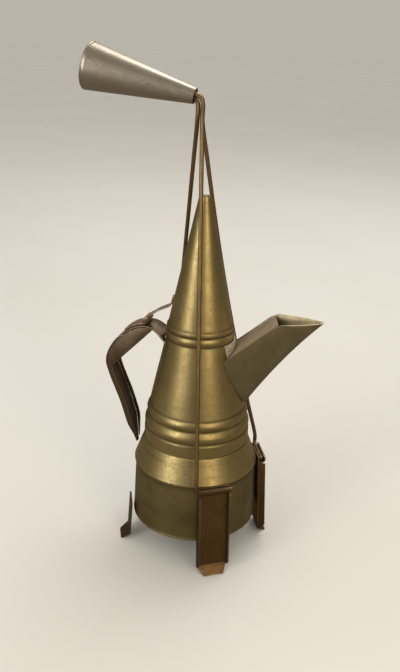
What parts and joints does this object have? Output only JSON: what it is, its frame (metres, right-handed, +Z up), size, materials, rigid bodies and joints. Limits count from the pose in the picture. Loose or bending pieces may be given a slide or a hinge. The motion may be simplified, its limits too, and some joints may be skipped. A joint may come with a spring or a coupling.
{
  "type": "alcohol burner",
  "caption": "Conical brass spirit vessel with a hinged lid, beak spout, strap handle, sheet feet and a lift-off wire bail ending in a hollow cone grip.",
  "frame": {"origin": "centre of the bounding box's base, on the plane the feet stand on", "axes": "+Z up along the vessel's axis, +X towards the spout, -X towards the strap handle"},
  "size_m": [0.1718, 0.1078, 0.3601],
  "materials": {
    "body_brass": "spun and buffed",
    "band_brass": "dull, darkened",
    "spout_brass": "hand-worked, dull",
    "leg_brass": "cut sheet, reddened by age",
    "wire_brass": "drawn rod, aged",
    "grip_brass": "rolled sheet, polished",
    "wick_cotton": "plaited cotton"
  },
  "bodies": {
    "vessel": {"vessel_cone": "body_brass", "base_band": "band_brass", "base_disc": "band_brass", "neck_spigot": "body_brass", "spout_trough": "spout_brass", "spout_cover": "spout_brass", "spout_flange": "spout_brass", "handle_strap": "leg_brass", "handle_cheek_near": "leg_brass", "handle_cheek_far": "leg_brass", "hinge_leaf": "leg_brass", "hinge_pin": "wire_brass", "leg_front": "leg_brass", "leg_right": "leg_brass", "leg_back": "leg_brass", "foot_left": "leg_brass"},
    "lid": {"lid_cone": "body_brass", "lid_arm": "leg_brass", "wick_tube": "body_brass", "wick_washer": "body_brass", "wick": "wick_cotton"},
    "bail": {"wire_front": "wire_brass", "wire_right": "wire_brass", "wire_back": "wire_brass", "grip_cone": "grip_brass", "grip_plug": "grip_brass"}
  },
  "joints": [
    {"name": "lid_hinge", "type": "hinge", "parent": "vessel", "child": "lid", "pos_m": [-0.04016, -0.00072, 0.1744], "axis": [0, -1, 0], "range_deg": [0, 110]},
    {"name": "bail_lift", "type": "slide", "parent": "vessel", "child": "bail", "axis": [0, 0, 1], "range_m": [0, 0.205]}
  ]
}
